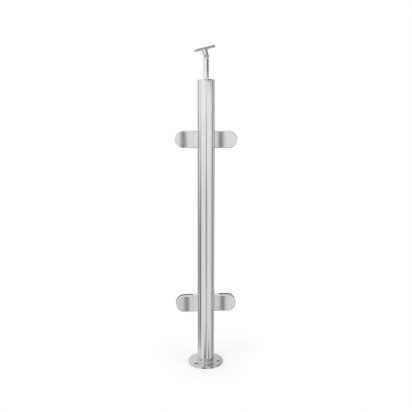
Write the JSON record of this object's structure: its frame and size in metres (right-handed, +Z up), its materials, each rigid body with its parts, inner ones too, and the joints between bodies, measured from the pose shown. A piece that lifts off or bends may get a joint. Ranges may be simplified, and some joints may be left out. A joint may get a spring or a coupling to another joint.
{
  "type": "balustrade post",
  "caption": "Round stainless balustrade post on a bolt-down floor plate, with D-shaped glass clamps on both sides and a swivel saddle for a handrail.",
  "frame": {"origin": "centre of the floor plate's underside", "axes": "+Z up along the tube, X along the fence through the clamps, -Y towards the front"},
  "size_m": [0.1808, 0.104, 0.9461],
  "materials": {
    "satin_steel": "satin, ground round the tube",
    "cast_steel": "cast, ground and satin polished",
    "weld_steel": "dressed weld",
    "screw_steel": "plain stainless fastener",
    "pad_rubber": "matt black"
  },
  "bodies": {
    "post": {"base_flange": "satin_steel", "base_weld": "weld_steel", "post_tube": "satin_steel", "top_cap": "satin_steel", "handrail_stem": "satin_steel", "pivot_screw": "screw_steel", "upper_left_back_jaw": "cast_steel", "upper_left_front_jaw": "cast_steel", "upper_left_back_gasket": "pad_rubber", "upper_left_front_gasket": "pad_rubber", "upper_right_back_jaw": "cast_steel", "upper_right_front_jaw": "cast_steel", "upper_right_back_gasket": "pad_rubber", "upper_right_front_gasket": "pad_rubber", "lower_left_back_jaw": "cast_steel", "lower_left_front_jaw": "cast_steel", "lower_left_back_gasket": "pad_rubber", "lower_left_front_gasket": "pad_rubber", "lower_right_back_jaw": "cast_steel", "lower_right_front_jaw": "cast_steel", "lower_right_back_gasket": "pad_rubber", "lower_right_front_gasket": "pad_rubber", "jaw_screws": "screw_steel", "mounting_bolts": "screw_steel", "rivet_nuts": "screw_steel"},
    "saddle": {"saddle_link": "satin_steel", "saddle_plate": "satin_steel", "saddle_screw": "screw_steel"}
  },
  "joints": [
    {"name": "saddle_tilt", "type": "hinge", "parent": "post", "child": "saddle", "pos_m": [0, 0, 0.917], "axis": [0, -1, 0], "range_deg": [-59, 31]}
  ]
}
